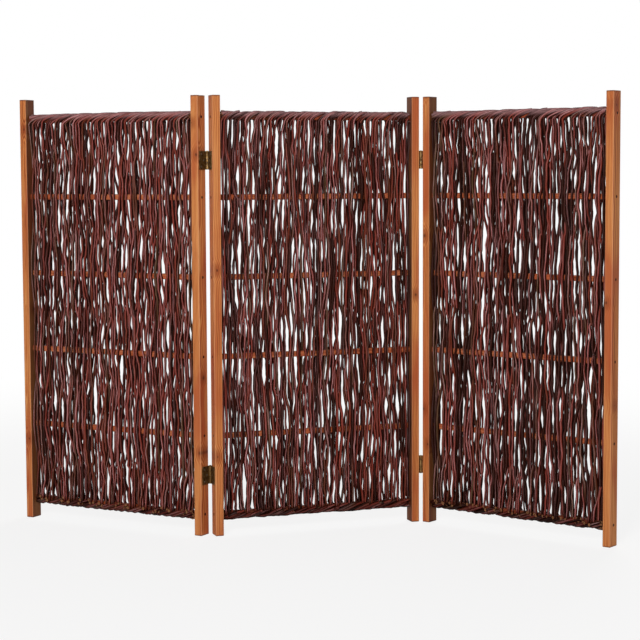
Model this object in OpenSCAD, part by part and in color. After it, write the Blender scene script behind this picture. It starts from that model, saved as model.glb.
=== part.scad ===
// Folding screen of three panels: woven willow rods in frames of stained pine.
// It stands in a zigzag, the left fold towards the viewer and the right fold away.
// Millimetres, +Z up, the floor at Z = 0, the viewer on the -Y side, and the origin on
// the floor in the middle of the footprint.
// Each panel is drawn in its own frame: X from its left edge, Y = 0 halfway through
// the posts and -Y in front, then turned and moved to its place in the zigzag.

/* [Panels] */
// Height of a panel from the floor to the post tops
panel_h = 1200; // [900:10:1800]
// Width of one panel over both posts
panel_w = 600; // [350:5:800]

/* [Zigzag] */
// Turn of the centre panel, its right end away from the viewer
centre_turn = 19; // [0:1:40]
// How far the left panel is folded back from flat
left_angle = 48; // [5:1:120]
// How far the right panel is folded forward from flat
right_angle = 57; // [5:1:120]

/* [Posts] */
// Width of a post across the panel
post_w = 23; // [18:1:40]
// Depth of a post from front to back
post_d = 38; // [34:1:60]
// Radius along the long corners of a post
post_ease = 2; // [0.5:0.5:4]
// Bevel round the top and the foot of a post
post_bevel = 1.5; // [0.5:0.5:4]

/* [Rails] */
// Number of cross rails in a panel
rail_count = 6; // [4:1:8]
// Height of a rail
rail_h = 16; // [12:1:24]
// Depth of a rail from front to back
rail_d = 12; // [8:0.5:16]
// Radius along the long corners of a rail
rail_ease = 3; // [1:0.5:4]
// From a post's end to the middle of the nearest rail
rail_end = 58; // [40:1:90]

/* [Willow] */
// Thickness of a willow rod at its butt end
rod_d = 7.2; // [4:0.2:8]
// How much thinner a rod is at each next bend or straight stretch
rod_taper = 0.05; // [0.03:0.01:0.1]
// Least gap between neighbouring rods
rod_gap = 1.6; // [0.8:0.2:6]
// Gap between the weave and the posts
weave_margin = 1; // [0.5:0.5:10]
// Play between a rod and the rails it passes
rod_play = 0.3; // [0.2:0.1:1]
// How far a rod's cut end turns round under the lowest rail, in degrees
tuck_turn = 150; // [60:5:170]

/* [Hinges] */
// Height of a hinge
hinge_h = 50; // [40:1:70]
// Middle of the upper hinges, below the post tops
hinge_upper = 175; // [120:1:190]
// Middle of the lower hinges, above the floor
hinge_lower = 165; // [120:1:190]
// Thickness of a hinge leaf
leaf_t = 1.5; // [1:0.1:2]
// How far a leaf reaches over the edge of its post
leaf_reach = 33; // [24:1:33]
// Thickness of the hinge knuckle
knuckle_d = 7; // [6:0.5:8]
// Number of knuckle pieces on a hinge, both leaves together
knuckle_count = 5; // [3:2:7]
// From a post's face out to the hinge pin's axis
pin_out = 4; // [3.5:0.5:6]
// Gap between the edges of two panels laid flat
flat_gap = 6; // [5:0.5:10]
// Thickness of the hinge pin
pin_d = 3; // [2:0.2:3.4]
// Thickness of the hinge pin's head
pin_head_d = 5; // [4:0.2:6]
// Height of the hinge pin's head
pin_head_h = 1.2; // [0.5:0.1:2]
// Play round the hinge pin
pin_play = 0.05; // [0.02:0.01:0.1]
// Play between the ends of the knuckle pieces
knuckle_play = 0.2; // [0.1:0.05:0.5]
// Clearance cut in each leaf round the other leaf's knuckles
notch_play = 0.3; // [0.2:0.1:0.6]

/* [Hinge screws] */
// Number of screws in a hinge leaf
leaf_screws = 3; // [2:1:4]
// Thickness of a hinge screw's shank
leaf_screw_d = 3; // [2.4:0.2:3.6]
// Width of a hinge screw's head
leaf_screw_head_d = 6; // [5:0.2:7]
// Length of a hinge screw
leaf_screw_l = 16; // [12:1:17]
// From a leaf's top and bottom to its end screws
leaf_screw_edge = 8; // [6:1:12]
// Sideways step of the screws from the middle of the leaf
leaf_screw_step = 6; // [0:1:8]

/* [Rail screws] */
// Thickness of a rail screw's shank
rail_screw_d = 4; // [3:0.2:5]
// Width of a rail screw's head
rail_screw_head_d = 8; // [6:0.2:9]
// Length of a rail screw
rail_screw_l = 50; // [42:1:70]

/* [Screw details] */
// Play round every screw in its hole
screw_play = 0.05; // [0.02:0.01:0.1]
// Height of a cone head as a share of the head's overhang
head_slope = 1; // [0.8:0.1:1.2]
// Width of the cross slots in the screw heads
slot_w = 0.9; // [0.5:0.1:1.2]
// Depth of the cross slots in the screw heads
slot_depth = 0.8; // [0.4:0.1:1]

/* [Hidden] */
PANELS = ["left", "centre", "right"];
ENDS = ["left", "right"];
SECTIONS = ["left", "middle", "right"];
LEVELS = ["upper", "lower"];
LEAVES = ["inner", "outer"];

pine = "#b86a3c";
pine_rail = "#c07a4a";
willow = "#5b2a24";
brass = "#7a6238";
steel = "#8f8a80";

// Extra length of a cutter past the face that it opens
over = 1;
// How far each stretch of a rod starts inside the thicker one before it
rod_bite = 0.3;
// Overlap of two cutters that meet end to end
seam = 0.01;
// A screw's cross slots as a share of its head, and its point as a share of its shank
slot_share = 0.6;
point_share = 1 / 3;
round_fn = 48;
bend_fn = 120;

inner_w = panel_w - 2 * post_w;
rail_step = (panel_h - 2 * rail_end) / (rail_count - 1);

// A rod passes each rail at this distance from the panel's middle plane
rod_out = rail_d / 2 + rod_play + rod_d / 2;
// Between two rails it is two equal arcs that meet on the middle plane
bend_r = rail_step * rail_step / (8 * rod_out) + rod_out / 2;
bend_a = asin(rail_step / 2 / bend_r);
// A rod runs straight past a rail's flat before it goes round its corners
rod_straight = rail_h / 2 - rail_ease;

weave_span = inner_w - 2 * weave_margin - rod_d;
rod_count = floor((weave_span / (rod_d + rod_gap) + 1) / 2);
rod_columns = 2 * rod_count;
rod_pitch = weave_span / (rod_columns - 1);
// The bend over the top rail crosses from one column to the next
loop_r = norm([rod_pitch / 2, rod_out]);

// The pin's axis, from the middle plane and from the panel's edge
pin_y = post_d / 2 + pin_out;
pin_x = flat_gap / 2;
knuckle_l = (hinge_h - (knuckle_count - 1) * knuckle_play) / knuckle_count;

function turned(a, v) = [v.x * cos(a) - v.y * sin(a), v.x * sin(a) + v.y * cos(a)];

// Turn of each panel, and the place of its left edge while the centre panel's is at zero
function panel_turn(p) =
    p == "left" ? centre_turn - left_angle :
    p == "right" ? centre_turn - right_angle :
    centre_turn;
function panel_start(p) =
    p == "left" ? turned(centre_turn, [-pin_x, pin_y])
        - turned(panel_turn(p), [panel_w + pin_x, pin_y]) :
    p == "right" ? turned(centre_turn, [panel_w + pin_x, -pin_y])
        - turned(panel_turn(p), [-pin_x, -pin_y]) :
    [0, 0];

// Middles of the round post corners in plan, which give the footprint's middle
corner_mids = [
    for (p = PANELS, x = [post_ease, panel_w - post_ease], s = [-1, 1])
        panel_start(p) + turned(panel_turn(p), [x, s * (post_d / 2 - post_ease)])
];
corner_xs = [for (c = corner_mids) c.x];
corner_ys = [for (c = corner_mids) c.y];
footprint_mid = [min(corner_xs) + max(corner_xs), min(corner_ys) + max(corner_ys)] / 2;

function rail_z(i) = rail_end + i * rail_step;
function hinge_z(v) = v == "upper" ? panel_h - hinge_upper : hinge_lower;
function column_x(c) = post_w + weave_margin + rod_d / 2 + c * rod_pitch;
// A column is behind (1) or in front of (-1) a rail, by turns
function rod_side(c, i) = (c + i) % 2 == 0 ? 1 : -1;
// Bottom of a knuckle piece, from the hinge's middle
function knuckle_z(k) = -hinge_h / 2 + k * (knuckle_l + knuckle_play);
// Hinge screws in a leaf's own plane: distance from the pin's axis, and height
leaf_screw_spots = [
    for (k = [0 : leaf_screws - 1])
        [pin_out + leaf_reach / 2 + (k % 2 == 0 ? 1 : -1) * leaf_screw_step,
         (hinge_h - 2 * leaf_screw_edge) * (k / (leaf_screws - 1) - 0.5)]
];

// The panels that a joint's inner and outer leaf are screwed to
function leaf_panel(j, f) = f == "inner" ? "centre" : j;
// The joints at a panel's end: the left joint's pin is behind, the right one's in front
function joint_at(p, e) =
    p == "centre" ? e :
    p == "left" && e == "right" ? "left" :
    p == "right" && e == "left" ? "right" :
    "none";
function pin_side(j) = j == "left" ? 1 : -1;

module in_panel(p) {
    start = panel_start(p) - footprint_mid;
    translate([start.x, start.y, 0])
        rotate(panel_turn(p))
            children();
}

// Puts children, drawn looking in from a panel's edge along +X, at its left or right end
module at_edge(e) {
    if (e == "left") children();
    else translate([panel_w, 0, 0]) mirror([1, 0, 0]) children();
}

module eased_section(x, y, r) {
    square([x - 2 * r, y], center = true);
    square([x, y - 2 * r], center = true);
    for (sx = [-1, 1], sy = [-1, 1])
        translate([sx * (x / 2 - r), sy * (y / 2 - r)])
            circle(r, $fn = round_fn);
}

// Countersunk wood screw along +X, its head flush with X = 0, larger all round by play
module screw_shape(d, head_d, l, play) {
    head_l = (head_d - d) / 2 * head_slope;
    rotate([0, 90, 0]) {
        cylinder(h = head_l, d1 = head_d + 2 * play, d2 = d + 2 * play, $fn = round_fn);
        cylinder(h = l - d + play, d = d + 2 * play, $fn = round_fn);
        translate([0, 0, l - d + play])
            cylinder(h = d, d1 = d + 2 * play, d2 = d * point_share, $fn = round_fn);
    }
}

// The hole for such a screw, open past X = 0
module screw_hole(d, head_d, l) {
    screw_shape(d, head_d, l, screw_play);
    rotate([0, 90, 0])
        translate([0, 0, -over])
            cylinder(h = over + seam, d = head_d + 2 * screw_play, $fn = round_fn);
}

module screw(d, head_d, l) {
    slot_l = head_d * slot_share;
    difference() {
        screw_shape(d, head_d, l, 0);
        for (a = [0, 90])
            rotate([a, 0, 0])
                translate([-over, -slot_w / 2, -slot_l / 2])
                    cube([over + slot_depth, slot_w, slot_l]);
    }
}

module post(p, e) {
    joint = joint_at(p, e);
    color(pine)
    in_panel(p)
    at_edge(e)
    difference() {
        translate([post_w / 2, 0, 0])
            linear_extrude(panel_h)
                eased_section(post_w, post_d, post_ease);
        post_bevels();
        for (i = [0 : rail_count - 1])
            translate([0, 0, rail_z(i)])
                screw_hole(rail_screw_d, rail_screw_head_d, rail_screw_l);
        if (joint != "none")
            for (v = LEVELS, s = leaf_screw_spots)
                translate([-leaf_t, pin_side(joint) * (pin_y - s.x), hinge_z(v) + s.y])
                    screw_hole(leaf_screw_d, leaf_screw_head_d, leaf_screw_l);
    }
}

// Four sloping cuts round each end of a post
module post_bevels() {
    reach = post_d + post_w;
    for (z = [0, panel_h])
        translate([post_w / 2, 0, z]) {
            for (s = [-1, 1]) {
                translate([s * post_w / 2, 0, 0])
                    rotate([0, 45, 0])
                        cube([post_bevel * sqrt(2), reach, post_bevel * sqrt(2)], center = true);
                translate([0, s * post_d / 2, 0])
                    rotate([45, 0, 0])
                        cube([reach, post_bevel * sqrt(2), post_bevel * sqrt(2)], center = true);
            }
        }
}

module rail(p, i) {
    color(pine_rail)
    in_panel(p)
    difference() {
        translate([post_w, 0, rail_z(i)])
            rotate([90, 0, 90])
                linear_extrude(inner_w)
                    eased_section(rail_d, rail_h, rail_ease);
        for (e = ENDS)
            at_edge(e)
                translate([0, 0, rail_z(i)])
                    screw_hole(rail_screw_d, rail_screw_head_d, rail_screw_l);
    }
}

module rail_screws(p, e) {
    color(steel)
    in_panel(p)
    at_edge(e)
    for (i = [0 : rail_count - 1])
        translate([0, 0, rail_z(i)])
            screw(rail_screw_d, rail_screw_head_d, rail_screw_l);
}

// A stretch of a rod is [middle, turn, radius, start, end]. A bent one goes from one angle to
// another in an upright plane, turned about Z, where 0 is level and 90 is up. A straight one
// has no radius and goes from one height to another.
function column_stretches(c) = [
    [[column_x(c), 0, rail_z(0) - rod_straight], 90 * rod_side(c, 0), rod_out, -tuck_turn, 0],
    [[column_x(c), rod_side(c, 0) * rod_out, rail_z(0)], 0, 0, -rod_straight, 0],
    for (i = [0 : rail_count - 1])
        [[column_x(c), rod_side(c, i) * (rod_out - bend_r), rail_z(i)],
         90 * rod_side(c, i), bend_r,
         i == 0 ? 0 : -bend_a, i == rail_count - 1 ? 0 : bend_a],
    [[column_x(c), rod_side(c, rail_count - 1) * rod_out, rail_z(rail_count - 1)],
     0, 0, 0, rod_straight],
];

// The bend over the top rail, from one column to the next
function loop_stretch(c) =
    [[column_x(c) + rod_pitch / 2, 0, rail_z(rail_count - 1) + rod_straight],
     atan2(rod_side(c + 1, rail_count - 1) * rod_out, rod_pitch / 2), loop_r, 180, 0];

// The same stretches followed the other way
function backwards(list) = [
    for (i = [len(list) - 1 : -1 : 0])
        [list[i][0], list[i][1], list[i][2], list[i][4], list[i][3]]
];

// Each stretch starts a little way back, inside the thicker one before it
module rod_stretch(stretch, d) {
    radius = stretch[2];
    way = stretch[4] > stretch[3] ? 1 : -1;
    back = radius > 0 ? asin(rod_bite / radius) : rod_bite;
    low = min(stretch[3] - way * back, stretch[4]);
    high = max(stretch[3] - way * back, stretch[4]);
    translate(stretch[0])
        if (radius > 0)
            rotate([90, 0, stretch[1]])
                rotate([0, 0, low])
                    rotate_extrude(angle = high - low, $fn = bend_fn)
                        translate([radius, 0])
                            circle(d = d, $fn = round_fn);
        else
            translate([0, 0, low])
                cylinder(h = high - low, d = d, $fn = round_fn);
}

// A rod goes up one column from its butt, over the top rail and down the next to its tip
module rod(c) {
    chain = concat(column_stretches(c), [loop_stretch(c)], backwards(column_stretches(c + 1)));
    for (k = [0 : len(chain) - 1])
        rod_stretch(chain[k], rod_d - k * rod_taper);
}

// The rods of a panel, in three sections from left to right
module willow_rods(p, s) {
    first = floor(rod_count * s / len(SECTIONS));
    next = floor(rod_count * (s + 1) / len(SECTIONS));
    color(willow)
    in_panel(p)
    for (k = [first : next - 1])
        rod(2 * k);
}

// Hinge parts are drawn about the pin's axis, the post's edge towards +X and its face at -Y
module at_hinge(j, v, f) {
    in_panel(leaf_panel(j, f))
        translate([f == "inner" && j == "right" || f == "outer" && j == "left"
                       ? panel_w + pin_x : -pin_x,
                   pin_side(j) * pin_y,
                   hinge_z(v)])
            rotate(j == "left" ? 0 : 180)
                if (f == "inner") children();
                else mirror([1, 0, 0]) children();
}

module hinge_leaf(j, v, f) {
    own = f == "inner" ? 0 : 1;
    color(brass)
    at_hinge(j, v, f)
    difference() {
        union() {
            translate([pin_x - leaf_t, -pin_out - leaf_reach, -hinge_h / 2])
                cube([leaf_t, pin_out + leaf_reach, hinge_h]);
            for (k = [own : 2 : knuckle_count - 1])
                translate([0, 0, knuckle_z(k)])
                    cylinder(h = knuckle_l, d = knuckle_d, $fn = round_fn);
        }
        for (k = [1 - own : 2 : knuckle_count - 1])
            translate([0, 0, knuckle_z(k) - knuckle_play])
                cylinder(h = knuckle_l + 2 * knuckle_play, d = knuckle_d + 2 * notch_play,
                         $fn = round_fn);
        translate([0, 0, -hinge_h / 2 - over])
            cylinder(h = hinge_h + 2 * over, d = pin_d + 2 * pin_play, $fn = round_fn);
        for (s = leaf_screw_spots)
            translate([pin_x - leaf_t, -s.x, s.y])
                screw_hole(leaf_screw_d, leaf_screw_head_d, leaf_screw_l);
    }
}

module hinge_screws(j, v, f) {
    color(steel)
    at_hinge(j, v, f)
    for (s = leaf_screw_spots)
        translate([pin_x - leaf_t, -s.x, s.y])
            screw(leaf_screw_d, leaf_screw_head_d, leaf_screw_l);
}

module hinge_pin(j, v) {
    color(brass)
    at_hinge(j, v, "inner") {
        translate([0, 0, -hinge_h / 2])
            cylinder(h = hinge_h, d = pin_d, $fn = round_fn);
        translate([0, 0, hinge_h / 2])
            cylinder(h = pin_head_h, d = pin_head_d, $fn = round_fn);
    }
}

for (p = PANELS, e = ENDS)
    post(p, e);
for (p = PANELS, i = [1 : rail_count])
    rail(p, i - 1);
for (p = PANELS, s = [0 : len(SECTIONS) - 1])
    willow_rods(p, s);
for (p = PANELS, e = ENDS)
    rail_screws(p, e);
for (j = ENDS, v = LEVELS, f = LEAVES)
    hinge_leaf(j, v, f);
for (j = ENDS, v = LEVELS, f = LEAVES)
    hinge_screws(j, v, f);
for (j = ENDS, v = LEVELS)
    hinge_pin(j, v);
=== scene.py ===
# %% [markdown]
# # A willow folding screen
# Three panels stand in a zigzag. Each is a frame of stained pine, filled with willow rods that
# pass in front of one cross rail and behind the next. The frame, rails, hinges and screws come
# from the construction model as they are and get their finish here. The willow is grown here
# with Geometry Nodes, because no two rods of the real screen are alike.

# %% Load the construction model
import math
import bpy
import numpy as np
from mathutils import Matrix, Vector


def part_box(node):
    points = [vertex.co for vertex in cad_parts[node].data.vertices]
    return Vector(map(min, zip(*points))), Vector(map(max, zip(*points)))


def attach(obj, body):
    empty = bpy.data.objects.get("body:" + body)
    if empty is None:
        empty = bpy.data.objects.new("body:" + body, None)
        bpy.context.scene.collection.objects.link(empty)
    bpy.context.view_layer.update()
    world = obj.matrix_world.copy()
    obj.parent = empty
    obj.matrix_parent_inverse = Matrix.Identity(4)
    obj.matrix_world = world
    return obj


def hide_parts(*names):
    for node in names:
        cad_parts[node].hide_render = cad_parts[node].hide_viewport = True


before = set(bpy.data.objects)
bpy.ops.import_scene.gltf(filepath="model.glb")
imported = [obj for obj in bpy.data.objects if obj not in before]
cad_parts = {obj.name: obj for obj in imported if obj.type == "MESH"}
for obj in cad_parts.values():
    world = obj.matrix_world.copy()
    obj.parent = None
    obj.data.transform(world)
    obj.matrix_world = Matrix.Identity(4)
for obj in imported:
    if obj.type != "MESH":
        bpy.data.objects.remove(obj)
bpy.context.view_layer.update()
scene = bpy.context.scene
MM = 0.001

# %% [markdown]
# ## The camera
# A camera can be set by eye, but the corners of the six posts in the picture fix it far better.
# They put it almost five metres away and a little under the height of the post tops, with a
# long lens that looks slightly down.

# %% Camera
CAMERA_AT = (0.0199, -4.9157, 0.9954)
CAMERA_YAW, CAMERA_DOWN, CAMERA_ROLL = -0.155, 4.756, -0.258
CAMERA_LENS, SENSOR_W = 100.86, 36.0

camera_data = bpy.data.cameras.new("camera")
camera_data.lens = CAMERA_LENS
camera_data.sensor_width = SENSOR_W
camera = bpy.data.objects.new("camera", camera_data)
camera.matrix_world = (
    Matrix.Translation(CAMERA_AT)
    @ Matrix.Rotation(math.radians(CAMERA_YAW), 4, "Z")
    @ Matrix.Rotation(math.radians(90 - CAMERA_DOWN), 4, "X")
    @ Matrix.Rotation(math.radians(CAMERA_ROLL), 4, "Z")
)
scene.collection.objects.link(camera)
scene.camera = camera
scene.view_settings.view_transform = "Standard"
print("camera at", CAMERA_AT, "lens", CAMERA_LENS)

# %% [markdown]
# ## Colours and nodes
# Colours are written as they are seen on a display, so they are turned to linear light in one
# function. Every node of every tree is added by one other function, which sets its properties,
# fills or links its sockets, and gives a ramp its colours.

# %% Helpers for colours and nodes
def linear(code, alpha=1.0):
    """The linear colour of a display colour such as #c87a45."""
    parts = [int(code[i:i + 2], 16) / 255 for i in (1, 3, 5)]
    return tuple(c / 12.92 if c <= 0.04045 else ((c + 0.055) / 1.055) ** 2.4 for c in parts) + (alpha,)


def add_node(tree, kind, settings=None, inputs=None, stops=()):
    """Adds a node. Each input is a value, a socket, or a node whose first output is meant.

    The stops of a colour ramp are pairs of a place and a display colour, from left to right.
    """
    node = tree.nodes.new(kind)
    for name, value in (settings or {}).items():
        setattr(node, name, value)
    for key, value in (inputs or {}).items():
        if isinstance(value, bpy.types.Node):
            value = value.outputs[0]
        if isinstance(value, bpy.types.NodeSocket):
            tree.links.new(value, node.inputs[key])
        else:
            node.inputs[key].default_value = value
    for number, (place, code) in enumerate(stops):
        if number == len(node.color_ramp.elements):
            node.color_ramp.elements.new(place)
        node.color_ramp.elements[number].position = place
        node.color_ramp.elements[number].color = linear(code)
    return node


SMOOTH, COLOURS = {"interpolation_type": "SMOOTHSTEP"}, {"data_type": "RGBA"}
TIMES, TIMES_PLUS = {"operation": "MULTIPLY"}, {"operation": "MULTIPLY_ADD"}


def new_material(name):
    """An empty node material, and its tree, for one finish."""
    material = bpy.data.materials.new(name)
    material.use_nodes = True
    material.node_tree.nodes.clear()
    return material, material.node_tree


print("pine in linear light:", [round(c, 3) for c in linear("#b8703f")])

# %% [markdown]
# ## Where each panel stands
# A panel's own axes run along its width, through its depth, and up. The angles of the zigzag
# could be written here again, but the middles of a panel's two posts give them straight from
# the construction model, so they can't drift apart.

# %% Place and turn of the panels
PANELS = ("left", "centre", "right")
SECTIONS = ("left", "middle", "right")
POST_W, POST_D = 23 * MM, 38 * MM
RAIL_H, RAIL_D = 16 * MM, 12 * MM
RAIL_COUNT = 6
UP = Vector((0, 0, 1))


def middle_of(node):
    """The middle of a node's box in the construction model."""
    low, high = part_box(node)
    return (low + high) / 2


def panel_place(panel):
    """The panel's left edge on the floor, its direction along the width, and its turn."""
    left = middle_of(f"{panel}_panel_left_post")
    right = middle_of(f"{panel}_panel_right_post")
    along = right - left
    along.z = 0
    width = along.length + POST_W
    along.normalize()
    start = left - along * POST_W / 2
    start.z = 0
    return {"start": start, "along": along, "turn": math.atan2(along.y, along.x), "width": width}


places = {panel: panel_place(panel) for panel in PANELS}
panel_w = places["centre"]["width"]
post_h = 2 * middle_of("centre_panel_left_post").z
for panel, place in places.items():
    print(panel, "turn", round(math.degrees(place["turn"]), 2), "width", round(place["width"], 4))

# %% [markdown]
# ## Stained pine
# The posts and rails are planed pine under a thin orange-brown stain. The eye sees growth
# rings as long wavy bands, fine fibres, and a few dark knots with a reddish halo that push the
# bands aside. Flat stripes on each face could give the bands, but they wouldn't meet at the
# corners. So the rings are cylinders round a pith that lies outside the stick, and the same
# pattern shows bands on the faces and arcs on the sawn ends. Each stick has its own pith and
# its own stretch of knots.

# %% Sizes of the pine's pattern
# Each pattern has its size across the stick's width and depth, and along it. Real fibres are
# finer than a pixel of the picture, so they are drawn as coarse as they need to show. A stick's
# seed, times a number that differs from pattern to pattern, gives each its own place in them
FIBRE = (1.1 * MM, 1.1 * MM, 71.4 * MM)
BLOTCH = (18.2 * MM, 25 * MM, 385 * MM)
REDDENED = (55.6 * MM, 55.6 * MM, 250 * MM)
RING_W = 4.2 * MM
KNOTS_PER_M = 2.3
KNOT_SMALL, KNOT_LARGE, KNOT_HEART = 4.5 * MM, 9.5 * MM, 1.2 * MM
KNOT_RAGGED, RAGGED_W = 3 * MM, 6.25 * MM
HALO_NEAR, HALO_FAR = 5 * MM, 22 * MM
PUSHED_NEAR, PUSHED_FAR = 3 * MM, 30 * MM
# The band along a corner that gets a painted highlight on a post and a painted shade on a rail
PAINTED_CORNER_W, SAWN_W = 3.5 * MM, 5 * MM
# Painted shade on a post's face towards the willow fades in across this band
INNER_SHADE_FROM, INNER_SHADE_TO = 1.2 * MM, 0.4 * MM
print("rings on a post:", round(POST_D / RING_W, 1), "knots in a post:", round(KNOTS_PER_M * post_h, 1))

# %% Knots in the pine
# Every knot lies in its own stretch of the stick, and is a little longer than wide
KNOT_FLATNESS, KNOT_OFF_CENTRE, THROUGH_WIDTH = 0.75, 0.8, 0.45


def pine_knots(tree, stick, half, seed):
    """How far off the nearest knot's heart is, and how much of a place is knot, from 0 to 1."""
    x, y, z = add_node(tree, "ShaderNodeSeparateXYZ", inputs={0: stick}).outputs
    stretch = add_node(tree, "ShaderNodeMath", TIMES_PLUS, {0: z, 1: KNOTS_PER_M, 2: seed * 7.31})
    knots = add_node(tree, "ShaderNodeTexVoronoi", {"voronoi_dimensions": "1D"},
                     {"W": stretch, "Scale": 1.0}).outputs
    drawn = add_node(tree, "ShaderNodeSeparateColor", inputs={0: knots["Color"]}).outputs

    # It runs through the stick's depth or its width, so it is seen on two opposite faces
    through = add_node(tree, "ShaderNodeMath", {"operation": "GREATER_THAN"}, {0: drawn[2], 1: THROUGH_WIDTH})
    across = add_node(tree, "ShaderNodeMix", {"data_type": "FLOAT"}, {0: through, 2: y, 3: x})
    reach = add_node(tree, "ShaderNodeMix", {"data_type": "FLOAT"}, {0: through, 2: half[1], 3: half[0]})
    aside = add_node(tree, "ShaderNodeMapRange",
                     inputs={"Value": drawn[0], "To Min": -KNOT_OFF_CENTRE, "To Max": KNOT_OFF_CENTRE})
    heart = add_node(tree, "ShaderNodeMath", TIMES, {0: aside, 1: reach})
    off = add_node(tree, "ShaderNodeMath", {"operation": "SUBTRACT"}, {0: across, 1: heart})
    rise = add_node(tree, "ShaderNodeMath", TIMES, {0: knots["Distance"], 1: KNOT_FLATNESS / KNOTS_PER_M})
    spot = add_node(tree, "ShaderNodeCombineXYZ", inputs={0: off, 1: rise})
    near = add_node(tree, "ShaderNodeVectorMath", {"operation": "LENGTH"}, {0: spot}).outputs["Value"]

    # Its outline is ragged
    wobble = add_node(tree, "ShaderNodeTexNoise",
                      inputs={"Vector": stick, "Scale": 1 / RAGGED_W, "Detail": 2.0})
    ragged = add_node(tree, "ShaderNodeMath", TIMES_PLUS, {0: wobble, 1: KNOT_RAGGED, 2: near})
    size = add_node(tree, "ShaderNodeMapRange",
                    inputs={"Value": drawn[1], "To Min": KNOT_SMALL, "To Max": KNOT_LARGE})
    knot = add_node(tree, "ShaderNodeMapRange", SMOOTH,
                    {"Value": ragged, "From Min": size, "From Max": KNOT_HEART})
    return near, knot


print("a knot in every", round(1 / KNOTS_PER_M, 2), "m of a stick")

# %% Growth rings
# At a scale of 1 a wave texture has one ring in every 2 pi / 20 metres
WAVE_PERIOD = 2 * math.pi / 20
RING_PUSH = 11.0
PITH_ASIDE, PITH_OFF, PITH_SPREAD = 60 * MM, 34 * MM, 22 * MM
PITH_TILT, PITH_SLOPE = 0.8, 0.9


def pine_rings(tree, stick, near, seed):
    """Rings round a pith that leans a little, pushed aside beside a knot."""
    pushed = add_node(tree, "ShaderNodeMapRange", SMOOTH,
                      {"Value": near, "From Min": PUSHED_FAR, "From Max": PUSHED_NEAR, "To Max": RING_PUSH})
    pith = (PITH_ASIDE * math.sin(seed * 2.4), PITH_OFF + PITH_SPREAD * math.cos(seed * 1.7), 0)
    tilt = (math.radians(PITH_TILT * math.sin(seed)), math.radians(PITH_SLOPE * math.cos(seed * 3)), 0)
    round_pith = add_node(tree, "ShaderNodeMapping",
                          inputs={"Vector": stick, "Location": pith, "Rotation": tilt})
    return add_node(tree, "ShaderNodeTexWave",
                    {"wave_type": "RINGS", "rings_direction": "Z", "wave_profile": "SIN"},
                    {"Vector": round_pith, "Scale": WAVE_PERIOD / RING_W, "Distortion": 10.0, "Detail": 2.0,
                     "Detail Scale": 0.07, "Detail Roughness": 0.55, "Phase Offset": pushed})


print("scale of the ring pattern:", round(WAVE_PERIOD / RING_W, 1))

# %% Fibres, blotches and reddened stretches
def pine_spots(tree, stick, seed):
    """Three patterns of noise that are stretched along the stick, each from its own place."""
    spots = []
    for sizes, shift, detail, roughness in ((FIBRE, (0, 0, 0), 3.0, 0.6),
                                            (BLOTCH, (seed * 3.3, seed * 1.9, 0), 2.0, 0.5),
                                            (REDDENED, (0, 0, seed * 5.7), 2.0, 0.5)):
        at = add_node(tree, "ShaderNodeMapping",
                      inputs={"Vector": stick, "Location": shift, "Scale": [1 / size for size in sizes]})
        spots.append(add_node(tree, "ShaderNodeTexNoise",
                              inputs={"Vector": at, "Scale": 1.0, "Detail": detail, "Roughness": roughness}))
    return spots


print("fibres across a post:", round(POST_D / FIBRE[1]))

# %% [markdown]
# The stain itself isn't even. Some stretches are redder, and the sawn ends have drunk more of it.
# The faces that the willow lies against get a dark painted shade. The posts' long corners get a
# paler painted highlight, and the rails' corners a darker painted shade. Each of these is a
# colour laid over the last one, as far as its own mask lets it.

# %% The stain, what has happened to it, and painted light and shade
# Each stain has a dark, a middle, a light and a pale tone, and a colour painted on its corners:
# a pale highlight on the posts, a dark shade on the rails
POST_STAIN = ("#873f20", "#b96433", "#cf8047", "#e09c5e", "#dc9c74")
RAIL_STAIN = ("#7e3a20", "#a85433", "#b8643f", "#c87c56", "#783822")
# The two rails inside the borders get a dark painted shade, for the shadow of the rods wrapped round them
PAINTED_BORDER_SHADE = ("#34140b", "#4a1e12", "#5c2a1a", "#6e3624", "#341509")
STAIN_PLACES = (0.36, 0.5, 0.66, 0.84)
# The last of these is painted shade for the faces that the willow lies against
RED_STAIN, SAWN_END, PAINTED_INNER_SHADE = "#b1522f", "#5e2a14", "#33170c"
KNOT_HALO, KNOT_DARK = "#8f3f1d", "#35150b"
RED_SHARE, HALO_SHARE, KNOT_SHARE = 0.75, 0.62, 0.85
PAINTED_CORNER_SHARE, SAWN_SHARE, INNER_SHADE_SHARE = 0.55, 0.8, 0.75


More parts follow.
